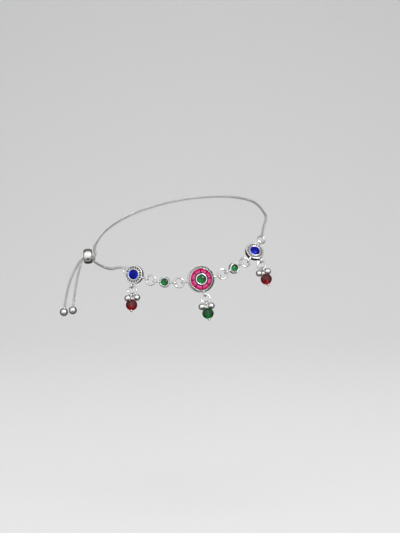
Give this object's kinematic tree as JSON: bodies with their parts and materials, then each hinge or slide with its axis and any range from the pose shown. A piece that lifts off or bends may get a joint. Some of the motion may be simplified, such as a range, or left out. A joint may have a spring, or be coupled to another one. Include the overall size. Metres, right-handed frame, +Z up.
{
  "type": "payal anklet",
  "caption": "Silver-toned chain anklet with a stone-set medallion, blue charms, crystal drops and a slider closure.",
  "frame": {"origin": "middle of the loop, where the middle of the ankle sits", "axes": "+Z up the ankle, +X to the right as seen from the front, and the row of charms faces -Y; the slider and its hanging chain ends are at -X"},
  "size_m": [0.1026, 0.0727, 0.0566],
  "materials": {
    "polished_silver": "polished silver-toned metal, bright mirror shine with fine scratches",
    "oxidised_silver": "cast silver-toned metal, bright on its edges and blackened in its recesses",
    "chain_silver": "fine round-link chain, dull silver with darker joints",
    "blue_glass": "royal blue domed glass on a dark foil",
    "green_glass": "emerald green domed glass on a dark foil",
    "pink_glass": "magenta cut glass",
    "garnet_crystal": "dark red faceted crystal",
    "green_crystal": "dark green faceted crystal"
  },
  "bodies": {
    "root": {"back_chain": "chain_silver", "back_tail_ball": "polished_silver", "front_chain": "chain_silver", "front_tail_ball": "polished_silver", "jump_ring_1": "polished_silver", "jump_ring_2": "polished_silver", "jump_ring_3": "polished_silver", "jump_ring_4": "polished_silver", "left_charm_cabochon": "blue_glass", "left_charm_setting": "oxidised_silver", "left_connector_cabochon": "green_glass", "left_connector_setting": "oxidised_silver", "left_drop_ball_1": "polished_silver", "left_drop_ball_2": "polished_silver", "left_drop_crystal": "garnet_crystal", "left_drop_pin": "polished_silver", "left_drop_ring": "polished_silver", "left_end_ring": "polished_silver", "medallion_cabochon": "green_glass", "medallion_setting": "oxidised_silver", "medallion_stone_1": "pink_glass", "medallion_stone_2": "pink_glass", "medallion_stone_3": "pink_glass", "medallion_stone_4": "pink_glass", "medallion_stone_5": "pink_glass", "medallion_stone_6": "pink_glass", "medallion_stone_7": "pink_glass", "medallion_stone_8": "pink_glass", "middle_drop_ball_1": "polished_silver", "middle_drop_ball_2": "polished_silver", "middle_drop_crystal": "green_crystal", "middle_drop_pin": "polished_silver", "middle_drop_ring": "polished_silver", "right_charm_cabochon": "blue_glass", "right_charm_setting": "oxidised_silver", "right_connector_cabochon": "green_glass", "right_connector_setting": "oxidised_silver", "right_drop_ball_1": "polished_silver", "right_drop_ball_2": "polished_silver", "right_drop_crystal": "garnet_crystal", "right_drop_pin": "polished_silver", "right_drop_ring": "polished_silver", "right_end_ring": "polished_silver", "slider_bead": "polished_silver"}
  },
  "joints": []
}
